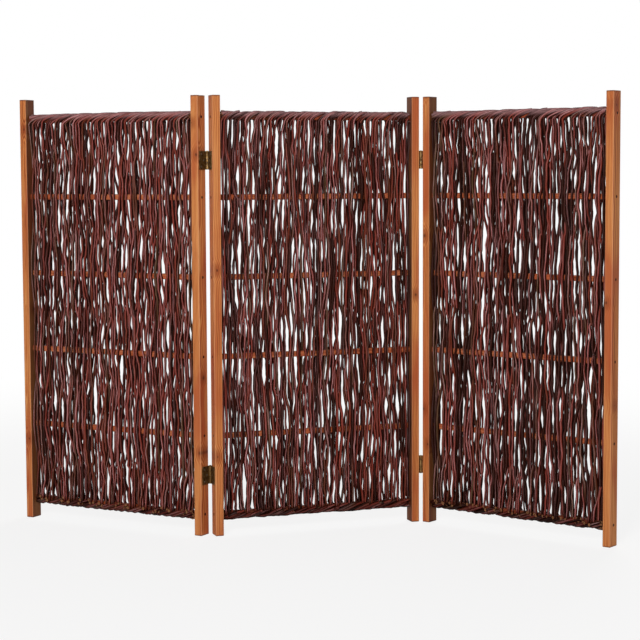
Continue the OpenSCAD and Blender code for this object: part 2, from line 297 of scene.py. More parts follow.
def stained_colour(tree, stick, tone, red, near, knot, stain, half, inner):
    """The stain's colour from the tone of the wood, with every change laid over it in turn."""
    x, y, z = add_node(tree, "ShaderNodeSeparateXYZ", inputs={0: stick}).outputs
    reddened = add_node(tree, "ShaderNodeMapRange", SMOOTH,
                        {"Value": red, "From Min": 0.45, "From Max": 0.66, "To Max": RED_SHARE})
    halo = add_node(tree, "ShaderNodeMapRange", SMOOTH,
                    {"Value": near, "From Min": HALO_FAR, "From Max": HALO_NEAR, "To Max": HALO_SHARE})
    core = add_node(tree, "ShaderNodeMapRange", inputs={"Value": knot, "To Max": KNOT_SHARE})
    # A post's corners get a pale painted highlight and a rail's corners a dark painted shade
    corner = PAINTED_CORNER_SHARE
    for place, reach in ((x, half[0]), (y, half[1])):
        off = add_node(tree, "ShaderNodeMath", {"operation": "ABSOLUTE"}, {0: place})
        edge = add_node(tree, "ShaderNodeMapRange",
                        inputs={"Value": off, "From Min": reach - PAINTED_CORNER_W, "From Max": reach})
        corner = add_node(tree, "ShaderNodeMath", TIMES, {0: edge, 1: corner})
    to_end = add_node(tree, "ShaderNodeMath", {"operation": "ABSOLUTE"}, {0: z})
    sawn = add_node(tree, "ShaderNodeMapRange", SMOOTH,
                    {"Value": to_end, "From Min": half[2] - SAWN_W, "From Max": half[2],
                     "To Max": SAWN_SHARE})
    # Painted shade on the face that the willow lies against, where the weave keeps the light off
    inward = add_node(tree, "ShaderNodeMath", TIMES, {0: x, 1: inner})
    painted_inner_shade = add_node(tree, "ShaderNodeMapRange",
                      inputs={"Value": inward, "From Min": half[0] - INNER_SHADE_FROM,
                              "From Max": half[0] - INNER_SHADE_TO, "To Max": INNER_SHADE_SHARE})
    colour = add_node(tree, "ShaderNodeValToRGB", inputs={0: tone}, stops=zip(STAIN_PLACES, stain))
    for amount, code in ((reddened, RED_STAIN), (halo, KNOT_HALO), (core, KNOT_DARK),
                         (corner, stain[-1]), (sawn, SAWN_END), (painted_inner_shade, PAINTED_INNER_SHADE)):
        colour = add_node(tree, "ShaderNodeMix", COLOURS, {0: amount, 6: colour, 7: linear(code)}).outputs[2]
    return colour


print("a post's stain from dark to pale:", ", ".join(POST_STAIN[:-1]))

# %% The pine finish
# How much the rings, the fibres and the blotches add to the tone of the wood
TONE_SHARES = (0.30, 0.34, 0.62)


def stained_pine(name, middle, axes, half, seed, stain, inner=0):
    """Pine for one stick. The axes run through its width, its depth and its length.

    Half has half of each of these sizes. Where inner is 1 or -1, that side of the stick faces
    the willow and gets a dark painted shade.
    """
    material, tree = new_material(name)
    place = add_node(tree, "ShaderNodeTexCoord").outputs["Object"]
    stick = add_node(tree, "ShaderNodeMapping", {"vector_type": "TEXTURE"},
                     {"Vector": place, "Location": middle, "Rotation": Matrix(axes).transposed().to_euler()})
    near, knot = pine_knots(tree, stick, half, seed)
    rings = pine_rings(tree, stick, near, seed)
    fibre, blotch, red = pine_spots(tree, stick, seed)
    tone = 0.0
    for pattern, share in zip((rings, fibre, blotch), TONE_SHARES):
        tone = add_node(tree, "ShaderNodeMath", TIMES_PLUS, {0: pattern, 1: share, 2: tone})
    colour = stained_colour(tree, stick, tone, red, near, knot, stain, half, inner)

    # A thin stain leaves planed wood satin: fibres stay a little rough, and rings a hair proud
    rough = add_node(tree, "ShaderNodeMapRange", inputs={"Value": fibre, "To Min": 0.62, "To Max": 0.42})
    relief = add_node(tree, "ShaderNodeMath", TIMES_PLUS, {0: rings, 1: 0.5, 2: fibre})
    bump = add_node(tree, "ShaderNodeBump",
                    inputs={"Height": relief, "Strength": 0.35, "Distance": 0.25 * MM})
    shader = add_node(tree, "ShaderNodeBsdfPrincipled",
                      inputs={"Base Color": colour, "Roughness": rough, "IOR": 1.48,
                              "Specular IOR Level": 0.18, "Normal": bump})
    add_node(tree, "ShaderNodeOutputMaterial", inputs={"Surface": shader})
    return material


print("shares of the rings, fibres and blotches:", TONE_SHARES)

# %% [markdown]
# The posts stand upright, so their length is the world's up. A rail lies along its panel, so
# its length is the panel's own direction, and its cross directions are up and depth.

# %% Finish the posts and the rails
FIRST_POST_SEED, FIRST_RAIL_SEED = 1.3, 11.7


def give_material(node, material):
    """Puts one material on a node of the construction model."""
    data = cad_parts[node].data
    data.materials.clear()
    data.materials.append(material)


post_half = (POST_W / 2, POST_D / 2, post_h / 2)
rail_half = (RAIL_H / 2, RAIL_D / 2, panel_w / 2 - POST_W)
for number, panel in enumerate(PANELS):
    along = places[panel]["along"]
    deep = UP.cross(along)
    for index, end in enumerate(("left", "right")):
        node = f"{panel}_panel_{end}_post"
        pine = stained_pine(f"pine_{node}", middle_of(node), (along, deep, UP), post_half,
                            FIRST_POST_SEED + 2 * number + index, POST_STAIN,
                            inner=1 if end == "left" else -1)
        give_material(node, pine)
    for index in range(RAIL_COUNT):
        node = f"{panel}_panel_rail_{index + 1}"
        # The top and bottom rails get the dark painted border shade
        pine = stained_pine(f"pine_{node}", middle_of(node), (UP, -deep, along), rail_half,
                            FIRST_RAIL_SEED + RAIL_COUNT * number + index,
                            PAINTED_BORDER_SHADE if index in (0, RAIL_COUNT - 1) else RAIL_STAIN)
        give_material(node, pine)
print("pine materials:", len([m for m in bpy.data.materials if m.name.startswith("pine_")]))

# %% [markdown]
# ## Hinges and screws
# The hinges are brassed steel that has gone dull: metal with an olive cast, darker blotches
# where it has tarnished, and a soft gloss. Their screws are zinc plated, greyer and brighter.
# The screws that hold the rails have rusted in the posts, and show as dark brown dots. All
# three could be plain metals, but an even gloss would look new, so one function gives each its
# own blotches, which are both darker and rougher.

# %% Metal finishes
# The grit of the plating is finer than a pixel of the picture, so it is drawn coarser
GRIT_W = 0.8 * MM


def dulled_metal(name, bright, dull, blotch_w, roughness):
    """A metal with blotches of tarnish or rust of about the given width."""
    material, tree = new_material(name)
    place = add_node(tree, "ShaderNodeTexCoord").outputs["Object"]
    blotch = add_node(tree, "ShaderNodeTexNoise",
                      inputs={"Vector": place, "Scale": 1 / blotch_w, "Detail": 4.0, "Roughness": 0.6})
    amount = add_node(tree, "ShaderNodeMapRange", SMOOTH,
                      {"Value": blotch, "From Min": 0.38, "From Max": 0.66})
    colour = add_node(tree, "ShaderNodeMix", COLOURS,
                      {0: amount, 6: linear(bright), 7: linear(dull)}).outputs[2]
    rough = add_node(tree, "ShaderNodeMapRange",
                     inputs={"Value": amount, "To Min": roughness[0], "To Max": roughness[1]})
    grit = add_node(tree, "ShaderNodeTexNoise", inputs={"Vector": place, "Scale": 1 / GRIT_W, "Detail": 2.0})
    bump = add_node(tree, "ShaderNodeBump", inputs={"Height": grit, "Strength": 0.15, "Distance": 0.05 * MM})
    shader = add_node(tree, "ShaderNodeBsdfPrincipled",
                      inputs={"Base Color": colour, "Metallic": 1.0, "Roughness": rough, "Normal": bump})
    add_node(tree, "ShaderNodeOutputMaterial", inputs={"Surface": shader})
    return material


brass = dulled_metal("dulled_brass", "#94784e", "#553c21", blotch_w=9 * MM, roughness=(0.42, 0.66))
zinc = dulled_metal("dulled_zinc", "#b4aea4", "#7d766c", blotch_w=4 * MM, roughness=(0.3, 0.5))
rust = dulled_metal("rusted_steel", "#5a2c1f", "#32150d", blotch_w=3 * MM, roughness=(0.55, 0.8))
# The first ending that fits a node counts
metal_of = {"_leaf": brass, "_pin": brass, "_rail_screws": rust, "_screws": zinc}
metal_nodes = 0
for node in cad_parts:
    for ending, metal in metal_of.items():
        if node.endswith(ending):
            give_material(node, metal)
            metal_nodes += 1
            break
print("metal on", metal_nodes, "nodes")

# %% [markdown]
# ## Willow bark
# Unpeeled willow dries to anything from maroon to grey brown, and keeps a low gloss. A picture
# of bark wrapped on a rod would show its seam and repeat itself. So each rod keeps one tone of
# its own as an attribute, and the streaks follow two more: how far along the rod a place lies,
# and where it lies round it. A fourth tells how squarely a place faces out of the panel. The
# sides that face other rods get a dark painted shade, and the outer faces a pale bloom that is
# partly a painted highlight.

# %% Sizes and colours of the bark
# From the darkest maroon through red to brown and grey brown
BARK_TONES = [(0.0, "#2a1006"), (0.14, "#40150a"), (0.32, "#6a2316"), (0.52, "#8a3528"),
              (0.68, "#77321f"), (0.82, "#5c2d16"), (0.92, "#4c2a13"), (1.0, "#563d22")]
# Pale bloom that is partly a painted highlight, painted shade for the sides between rods, and pale pores
BLOOM_AND_HIGHLIGHT, PAINTED_CLEFT_SHADE, PALE_PORE = "#c8989a", "#270a03", "#9c7a66"
# Each pattern has so many spots in a rod's radius round it, and a real length along it. Real
# streaks and pores are finer than a pixel of the picture, so they are drawn coarser, to show
STREAKS, PATCHES = (2.2, 2.2, 1 / (62.5 * MM)), (0.5, 0.5, 1 / (200 * MM))
PORES = (1.3, 1.3, 1 / (6.25 * MM))
# How far the patterns of two rods of unlike tone lie apart, so that no two rods are the same
TONE_SHIFT = 40.0
TONE_DRIFT = 0.17
rail_heights = [middle_of(f"centre_panel_rail_{i + 1}").z for i in range(RAIL_COUNT)]
# Where the top border's extra bloom and painted highlight begin and end
CROWN_FROM, CROWN_TO = rail_heights[-1] - 4 * MM, rail_heights[-1] + 11 * MM
# Where the painted shade on the lowest border, round the bottom rail, fades out
LOW_SHADE_TO, LOW_SHADE_FROM = rail_heights[0] - 6 * MM, rail_heights[0] + 16 * MM
print("bark tones:", len(BARK_TONES))

# %% Where a place lies on its rod
def rod_place(tree):
    """A place's spot round and along its rod, the rod's own tone, and how far it faces outwards."""
    names = ("rod_length", "rod_ring", "rod_tone", "rod_outward")
    along, ring, tone, outward = [add_node(tree, "ShaderNodeAttribute", {"attribute_name": name}).outputs
                                  for name in names]
    tone, outward = tone["Fac"], outward["Fac"]
    shifted = add_node(tree, "ShaderNodeMath", TIMES_PLUS, {0: tone, 1: TONE_SHIFT, 2: along["Fac"]})
    up = add_node(tree, "ShaderNodeCombineXYZ", inputs={2: shifted})
    spot = add_node(tree, "ShaderNodeVectorMath", {"operation": "ADD"}, {0: ring["Vector"], 1: up})
    return spot, tone, outward


print("the patterns of the darkest and the lightest rod lie", TONE_SHIFT, "m apart")

# %% The tone of the bark
def bark_tone(tree, tone, patch, streak):
    """A rod's tone, which drifts along it, and its colour, which streaks make darker and lighter."""
    drift = add_node(tree, "ShaderNodeMapRange",
                     inputs={"Value": patch, "From Min": 0.3, "From Max": 0.7,
                             "To Min": -TONE_DRIFT, "To Max": TONE_DRIFT})
    own = add_node(tree, "ShaderNodeMath", {"operation": "ADD", "use_clamp": True}, {0: tone, 1: drift})
    colour = add_node(tree, "ShaderNodeValToRGB", inputs={0: own}, stops=BARK_TONES)
    shade = add_node(tree, "ShaderNodeMapRange",
                     inputs={"Value": streak, "From Min": 0.3, "From Max": 0.7,
                             "To Min": 0.62, "To Max": 1.3})
    return own, add_node(tree, "ShaderNodeVectorMath", {"operation": "SCALE"}, {0: colour, "Scale": shade})


print("a rod's tone drifts up and down by", TONE_DRIFT)

# %% The bloom on the bark, partly a painted highlight
def bark_bloom_and_highlight(tree, own, tone, streak, outward, height):
    """How much pale bloom, partly a painted highlight, a place carries, from 0 to 1."""
    # The outer faces of a rod get bloom and a painted highlight along its middle
    ridge_bloom_and_highlight = add_node(tree, "ShaderNodeMapRange", SMOOTH,
                     {"Value": outward, "From Min": 0.74, "From Max": 1.0, "To Max": 0.95})
    dusty = add_node(tree, "ShaderNodeMapRange", inputs={"Value": streak, "From Min": 0.42, "From Max": 0.68})
    sparing = add_node(tree, "ShaderNodeMapRange", inputs={"Value": own, "To Min": 0.3, "From Max": 0.35})
    chance = add_node(tree, "ShaderNodeTexWhiteNoise", {"noise_dimensions": "1D"}, {"W": tone})
    share = add_node(tree, "ShaderNodeMapRange", SMOOTH,
                     {"Value": chance.outputs["Value"], "From Min": 0.15, "From Max": 0.85,
                      "To Min": 0.3, "To Max": 1.4})
    bloom = ridge_bloom_and_highlight
    for amount in (dusty, sparing, share):
        bloom = add_node(tree, "ShaderNodeMath", {"operation": "MULTIPLY", "use_clamp": True},
                         {0: bloom, 1: amount})

    # The top border gets more of it, in patches: partly bloom, partly a painted highlight from above
    crown_bloom_and_highlight = add_node(tree, "ShaderNodeMapRange", SMOOTH,
                     {"Value": height, "From Min": CROWN_FROM, "From Max": CROWN_TO})
    patchy = add_node(tree, "ShaderNodeMapRange",
                      inputs={"Value": streak, "From Min": 0.34, "From Max": 0.64, "To Max": 0.8})
    crown_bloom_and_highlight = add_node(tree, "ShaderNodeMath", TIMES, {0: crown_bloom_and_highlight, 1: patchy})
    return add_node(tree, "ShaderNodeMath", {"operation": "MAXIMUM"}, {0: bloom, 1: crown_bloom_and_highlight})


print("the top border's bloom starts at", round(CROWN_FROM, 3), "m")

# %% The bark finish
def willow_bark():
    """Bark with streaks along the rod, painted shade on its sides, pale bloom that is partly painted
    highlight, and small pale pores.
    """
    material, tree = new_material("willow_bark")
    spot, tone, outward = rod_place(tree)
    place = add_node(tree, "ShaderNodeTexCoord").outputs["Object"]
    height = add_node(tree, "ShaderNodeSeparateXYZ", inputs={0: place}).outputs[2]
    streak_at, patch_at, pore_at = [add_node(tree, "ShaderNodeVectorMath", TIMES, {0: spot, 1: spots})
                                    for spots in (STREAKS, PATCHES, PORES)]
    streak = add_node(tree, "ShaderNodeTexNoise",
                      inputs={"Vector": streak_at, "Scale": 1.0, "Detail": 4.0, "Roughness": 0.65})
    patch = add_node(tree, "ShaderNodeTexNoise", inputs={"Vector": patch_at, "Scale": 1.0, "Detail": 2.0})
    pore = add_node(tree, "ShaderNodeTexVoronoi", inputs={"Vector": pore_at, "Scale": 1.0})

    # Painted shade on the sides, bloom with painted highlight, and pores are laid over the rod's own
    # tone, and a painted shade darkens the lowest border
    own, colour = bark_tone(tree, tone, patch, streak)
    # Painted shade on the sides of a rod that face other rods, from how squarely a place faces out
    lit = add_node(tree, "ShaderNodeMapRange", SMOOTH,
                   {"Value": outward, "From Min": 0.38, "From Max": 0.95})
    colour = add_node(tree, "ShaderNodeMix", COLOURS, {0: lit, 6: linear(PAINTED_CLEFT_SHADE), 7: colour})
    bloom = bark_bloom_and_highlight(tree, own, tone, streak, outward, height)
    speck = add_node(tree, "ShaderNodeMapRange",
                     inputs={"Value": pore.outputs["Distance"], "From Min": 0.16, "From Max": 0.06,
                             "To Max": 0.5})
    for amount, code in ((bloom, BLOOM_AND_HIGHLIGHT), (speck, PALE_PORE)):
        colour = add_node(tree, "ShaderNodeMix", COLOURS, {0: amount, 6: colour.outputs[2], 7: linear(code)})
    # Painted shade halves the colour of the lowest border, where little light reaches under the rail
    painted_low_shade = add_node(tree, "ShaderNodeMapRange", SMOOTH,
                    {"Value": height, "From Min": LOW_SHADE_TO, "From Max": LOW_SHADE_FROM, "To Min": 0.5})
    colour = add_node(tree, "ShaderNodeVectorMath", {"operation": "SCALE"},
                      {0: colour.outputs[2], "Scale": painted_low_shade})
    rough = add_node(tree, "ShaderNodeMapRange", inputs={"Value": streak, "To Min": 0.38, "To Max": 0.56})
    bump = add_node(tree, "ShaderNodeBump", inputs={"Height": streak, "Strength": 0.5, "Distance": 0.35 * MM})
    # Dusty bark mirrors little of the white background, which would veil the dark rods in grey
    shader = add_node(tree, "ShaderNodeBsdfPrincipled",
                      inputs={"Base Color": colour, "Roughness": rough, "IOR": 1.5,
                              "Specular IOR Level": 0.05, "Normal": bump})
    add_node(tree, "ShaderNodeOutputMaterial", inputs={"Surface": shader})
    return material


bark = willow_bark()
print("nodes in the bark:", len(bark.node_tree.nodes))

# %% The cut ends
# Willow's own pores are finer than a pixel of the picture, so they are drawn coarser
CUT_PORE_W = 1.2 * MM
CUT_TONES = [(0.3, "#74452a"), (0.7, "#ab774c")]


def willow_cut():
    """The cut end of a rod: pale, dull wood with darker pores."""
    material, tree = new_material("willow_cut_end")
    place = add_node(tree, "ShaderNodeTexCoord").outputs["Object"]
    pores = add_node(tree, "ShaderNodeTexNoise",
                     inputs={"Vector": place, "Scale": 1 / CUT_PORE_W, "Detail": 3.0})
    colour = add_node(tree, "ShaderNodeValToRGB", inputs={0: pores}, stops=CUT_TONES)
    shader = add_node(tree, "ShaderNodeBsdfPrincipled", inputs={"Base Color": colour, "Roughness": 0.8})
    add_node(tree, "ShaderNodeOutputMaterial", inputs={"Surface": shader})
    return material


cut_end = willow_cut()
print("finishes of the willow:", bark.name, cut_end.name)

# %% [markdown]
# ## How the rods lie
# More than a hundred columns of rods stand side by side in a panel, packed until they touch. At
# a rail each one is in front or behind, by turns, and between two rails they all have to pass
# each other. No formula gives that crowding, so the rods are settled by a small calculation.
# Every rod starts near its own column with some wander. Then, again and again, each is
# straightened a little, neighbours that overlap are pushed apart, and the rails and posts hold
# their places. The gaps that are left are as uneven as the real ones.

# %% Sizes of the willow
# The columns come from a count of the light stripes and gaps in the picture
COLUMNS = {"left": 101, "centre": 113, "right": 103}
ROD_R, ROD_SPREAD = 3.55 * MM, 0.2
BUTT_SHARE, TIP_SHARE = 1.12, 0.86
WEAVE_MARGIN = 0.4 * MM
BORDER_LEAD = 12 * MM
LEG_POINTS = 82

rail_step = rail_heights[1] - rail_heights[0]
leg_heights = np.linspace(rail_heights[0] + BORDER_LEAD, rail_heights[-1] - BORDER_LEAD, LEG_POINTS)
weave_from, weave_to = POST_W + WEAVE_MARGIN, panel_w - POST_W - WEAVE_MARGIN
first_column = weave_from + ROD_R


def column_pitch(panel):
    """The step from one column of a panel to the next."""
    return (panel_w - 2 * first_column) / (COLUMNS[panel] - 1)


print("pitches", [round(column_pitch(panel) / MM, 2) for panel in PANELS], "mm")

# %% Where each rod would lie by itself
# Groups of rods sway together, each rod wanders by itself, and some cross early or late
SWAY, WANDER, LATENESS = 2.4 * MM, 3.4 * MM, 0.11
# How slowly each of these changes from rod to rod and along a rod
SWAY_GRAIN, WANDER_GRAIN, LATE_GRAIN = (5, 14), (0, 4), (0, 12)
# Beside the posts the rods stand straight
EDGE_CALM = 25 * MM
# How far each height lies below the top rail, in steps from rail to rail
spans = (rail_heights[-1] - leg_heights) / rail_step


def soft_noise(rng, rows, steps, row_grain, step_grain):
    """Random values with a spread of one, that change slowly over rows and along the steps."""
    speed = np.hypot(np.fft.fftfreq(rows)[:, None] * row_grain, np.fft.rfftfreq(steps)[None] * step_grain)
    waves = np.fft.rfft2(rng.normal(size=(rows, steps))) * np.exp(-(2 * speed) ** 2)
    field = np.fft.irfft2(waves, s=(rows, steps))
    return field / field.std()


def rod_goals(rng, radius, pitch):
    """Each rod's own place across the panel and through it, its side of a rail, and its freedom.

    The side is -1 in front and 1 behind, and the freedom goes down to 0 beside the posts.
    """
    columns = len(radius)
    column = np.arange(columns)[:, None]
    side = np.where(column % 2 == 0, -1.0, 1.0)
    late = LATENESS * soft_noise(rng, columns, LEG_POINTS, *LATE_GRAIN) * np.sin(np.pi * spans) ** 2
    swing = side * np.cos(np.pi * (spans + late))
    wander = SWAY * soft_noise(rng, columns, LEG_POINTS, *SWAY_GRAIN)
    wander += WANDER * soft_noise(rng, columns, LEG_POINTS, *WANDER_GRAIN)
    freedom = np.minimum(1, np.minimum(column, columns - 1 - column) * pitch / EDGE_CALM)
    x_goal = first_column + column * pitch + wander * freedom
    return x_goal, swing * (RAIL_D / 2 + radius), np.sign(swing), freedom


print("steps from rail to rail in a column:", round(spans[0] - spans[-1], 2))

# %% Settle the rods
# Small sharp bends, the most on the left panel, and how slowly they change along a rod
KINK = {"left": 1.2 * MM, "centre": 0.7 * MM, "right": 1.0 * MM}
KINK_GRAIN = (0, 1.2)
RAIL_SLACK = 3 * MM
SETTLE_TURNS, NEIGHBOURS, LEAST_APART = 160, (1, 2, 3, 4), 0.01 * MM
STRAIGHTEN, PUSH, HOMING_X, HOMING_Y = 0.4, 0.45, 0.14, 0.05
# A rod is held in front of a rail or behind it at the rail's height, and at its column's ends
at_rail = np.abs(spans - np.round(spans)) * rail_step < RAIL_H / 2 + RAIL_SLACK
at_rail[[0, -1]] = True


def push_apart(x, y, radius):
    """Moves neighbours that overlap a little away from each other."""
    for step in NEIGHBOURS:
        dx, dy = x[step:] - x[:-step], y[step:] - y[:-step]
        apart = np.maximum(np.hypot(dx, dy), LEAST_APART)
        push = PUSH * np.clip(radius[step:] + radius[:-step] - apart, 0, None) / apart
        x[step:] += dx * push
        x[:-step] -= dx * push
        y[step:] += dy * push
        y[:-step] -= dy * push


def settle_rods(rng, radius, pitch, kink):
    """Places of every rod at every height: across the panel (x) and through it (y)."""
    x_goal, y_goal, front_or_back, freedom = rod_goals(rng, radius, pitch)
    tight = RAIL_D / 2 + radius
    x, y = x_goal.copy(), y_goal.copy()
    for _ in range(SETTLE_TURNS):
        for place in (x, y):
            place[:, 1:-1] += STRAIGHTEN * ((place[:, :-2] + place[:, 2:]) / 2 - place[:, 1:-1])
        x += HOMING_X * (x_goal - x)
        y += HOMING_Y * (y_goal - y)
        push_apart(x, y, radius)
        held = front_or_back * np.clip(front_or_back * y, tight, tight + RAIL_SLACK)
        y = np.where(at_rail, held, y)
        x = np.clip(x, weave_from + radius, weave_to - radius)
    x[:, 1:-1] += kink * freedom * soft_noise(rng, *x.shape, *KINK_GRAIN)[:, 1:-1]
    return np.clip(x, weave_from + radius, weave_to - radius), y


print("heights in a column:", LEG_POINTS, "of them held:", int(at_rail.sum()), "turns:", SETTLE_TURNS)

# %% [markdown]
# ## The borders
# At the top each rod leans over to the right, passes over the top rail on a long slant and
# goes down behind it as another column. Side by side these slants close into a rope-like
# border. At the bottom every rod turns under the lowest rail on a slant and ends in a cut.
# Instead of points set by hand, the path there is the rail's rounded section, grown by the
# rod's own radius, so each rod lies tight on the wood.

# %% The path round a rail
RAIL_EASE, MOST_SWELL = 3 * MM, 1.15


def wrap_point(way, radius):
    """So far on the way over a rail, from the middle of its front: depth and height."""
    corner = RAIL_EASE + radius
    tall, deep = RAIL_H / 2 - RAIL_EASE, RAIL_D / 2 - RAIL_EASE
    half = tall + corner * math.pi / 2 + deep
    if way > half:
        y, z = wrap_point(2 * half - way, radius)
        return -y, z
    if way < tall:
        return -deep - corner, way
    if way < half - deep:
        turn = (way - tall) / corner
        return -deep - corner * math.cos(turn), tall + corner * math.sin(turn)
    return way - half, tall + corner


def wrap_length(radius):
    """From the middle of a rail's front, over the rail, to the middle of its back."""
    return RAIL_H - 2 * RAIL_EASE + (RAIL_EASE + radius) * math.pi + RAIL_D - 2 * RAIL_EASE


def round_rail(start_x, sides, radius, lift, shares, base, upwards):
    """Points on a slanted way over a rail from its front, or under it from its back if upwards is -1."""
    around = wrap_length(radius)
    total = around + 2 * BORDER_LEAD
    for share, side in zip(shares, sides):
        way = share * total - BORDER_LEAD
        if way < 0:
            y, z = wrap_point(0, radius)[0], way
        elif way > around:
            y, z = -wrap_point(0, radius)[0], around - way
        else:
            y, z = wrap_point(way, radius)
        swell = 1 + lift * math.sin(math.pi * share) / (RAIL_H / 2)
        yield start_x + side, y * upwards * min(swell, MOST_SWELL), base + z * upwards * swell, way


round_length = wrap_length(ROD_R) + 2 * BORDER_LEAD
from_top = leg_heights[-1] - leg_heights + round_length / 2
rod_reach = leg_heights[-1] - leg_heights[0] + round_length
print("way over a rail:", round(wrap_length(ROD_R) / MM, 1), "mm, half a rod:", round(rod_reach, 2), "m")

# %% The tucked foot of a rod
TUCK_POINTS = 11
TUCK_RUN, TUCK_SPREAD, TUCK_BEND = 120 * MM, 18 * MM, 1.6
TUCK_LOW, TUCK_HIGH = -4 * MM, 9 * MM
TUCK_BULGE, TUCK_FLARE = (0.6 * ROD_R, 1.3 * ROD_R), (0.8 * MM, 4 * MM)


def tucked_foot(rng, start_x, size):
    """From the cut end in front of the lowest rail, under the rail and up behind it.

    Each point of a rod is its place, its radius and how far along the rod it lies.
    """
    shares = np.linspace(1, 0, TUCK_POINTS, endpoint=False)
    shares *= 1 - (BORDER_LEAD - rng.uniform(TUCK_LOW, TUCK_HIGH)) / round_length
    slants = (TUCK_RUN + TUCK_SPREAD * rng.uniform(-1, 1)) * shares ** TUCK_BEND
    bulge = rng.uniform(*TUCK_BULGE)
    foot = []
    for x, y, z, way in round_rail(start_x, slants, size, 0, shares, rail_heights[0], -1):
        y -= bulge * min(1, max(0, -y / (RAIL_D / 2)))
        foot.append((x, y, z, size, -from_top[0] - BORDER_LEAD - way))
    x, y, z, *rest = foot[0]
    foot[0] = (x, y - rng.uniform(*TUCK_FLARE), z, *rest)
    return foot


print("a foot runs up to", round((TUCK_RUN + TUCK_SPREAD) / MM), "mm sideways under the lowest rail")

# %% The way over the top
BORDER_POINTS = 16
LEAN_SOFT, LEAN_SKEW = (0.7, 1), (0.75, 1)
# A few rods are broken off on top: they rise from the first share of the way, end at the
# second and go on behind the rail from the third
STUB_FROM, STUB_END, STUB_BACK = 0.3, 0.5, 0.66
STUB_LIFT = 2.5 * MM


def lean(shares, softness, skew):
    """How much of its sideways run a rod has made, at these shares of the way over a rail."""
    shares = shares ** skew
    return shares - softness * np.sin(2 * math.pi * shares) / (2 * math.pi)


def over_top(rng, start_x, end_x, size, lift, is_stub):
    """From the front of the top rail over to its back, with None where a stub has its gap."""
    shares = np.linspace(0, 1, BORDER_POINTS + 1, endpoint=False)[1:]
    slants = (end_x - start_x) * lean(shares, rng.uniform(*LEAN_SOFT), rng.uniform(*LEAN_SKEW))
    top = []
    path = round_rail(start_x, slants, size, lift, shares, rail_heights[-1], 1)
    for share, (x, y, z, way) in zip(shares, path):
        if is_stub and STUB_END < share < STUB_BACK:
            top.append(None)
            continue
        if is_stub and share <= STUB_END:
            z += STUB_LIFT * max(0, share - STUB_FROM) / (STUB_END - STUB_FROM)
        top.append((x, y, z, size, way - wrap_length(size) / 2))
    return top


print("points of a rod over the top rail:", BORDER_POINTS)

# %% The columns between the borders
KNOB, KNOB_GRAIN = 0.08, (0, 1.4)


def taper(length):
    """A rod's share of its own size at a length from its middle: thick at the butt, thin at the tip."""
    return BUTT_SHARE + (TIP_SHARE - BUTT_SHARE) * (length / rod_reach + 1) / 2


def settled_columns(rng, panel, run, own_size):
    """The points of each column of a panel, from the lowest up.

    Even columns lead up from a rod's foot, and odd ones down to its tip.
    """
    column = np.arange(COLUMNS[panel])
    rod_of = np.where(column % 2 == 0, column // 2, (column - run) // 2) + run // 2
    length_at = np.where(column[:, None] % 2 == 0, -from_top[None], from_top[None])
    knobs = 1 + KNOB * soft_noise(rng, len(column), LEG_POINTS, *KNOB_GRAIN)
    radius = own_size[rod_of][:, None] * taper(length_at) * knobs
    x, y = settle_rods(rng, radius, column_pitch(panel), KINK[panel])
    return [list(zip(x[i], y[i], leg_heights, radius[i], length_at[i])) for i in column]


print("a rod's butt and tip:", [round(2 * ROD_R * share / MM, 1) for share in (BUTT_SHARE, TIP_SHARE)], "mm")

# %% One rod from its foot to its tip
TIP_LOW, TIP_HIGH = 2 * MM, 6 * MM
POST_ROOM = 2 * MM


def rod_chain(rng, panel, legs, left, right, size, lift, is_stub):
    """A rod's points up its left column and down its right one, with None where it has a gap.

    Some rods have only one of the two, because the other one would stand beyond a post.
    """
    has_left, has_right = left >= 0, right < len(legs)
    foot_x = legs[left][0][0] if has_left else first_column + left * column_pitch(panel)
    start_x = legs[left][-1][0] if has_left else foot_x
    end_x = legs[right][-1][0] if has_right else first_column + right * column_pitch(panel)
    chain = tucked_foot(rng, foot_x, size * BUTT_SHARE)
    chain += legs[left] if has_left else [None]
    chain += over_top(rng, start_x, end_x, size, lift, is_stub)
    if has_right:
        tip = rail_heights[0] - rng.uniform(TIP_LOW, TIP_HIGH)
        x, y, z, radius, length = legs[right][0]
        chain += legs[right][::-1] + [(x, y, tip, radius, length + z - tip)]
    return chain


def kept_stretches(chain):
    """The stretches of a chain of points that lie between the posts and have no gap."""
    stretch = []
    for point in chain + [None]:
        if point is not None and weave_from + POST_ROOM < point[0] < weave_to - POST_ROOM:
            stretch.append(point)
            continue
        if stretch:
            yield stretch
        stretch = []


print("room for points between the posts:", round(weave_to - weave_from - 2 * POST_ROOM, 4), "m")

# %% All the rods of a panel
# How many columns further right a rod comes down: the outer panels' borders look more like rope
RUNS = {"left": 21, "centre": 15, "right": 21}
# A tone below 0 counts as the darkest, so the centre and right panels have more dark rods
TONE_RANGE = {"left": (0.06, 0.96), "centre": (-0.14, 0.94), "right": (-0.14, 1.0)}
LIFT_STEP, LIFT_SPREAD = 0.6 * MM, 0.9 * MM
STUBS = 4


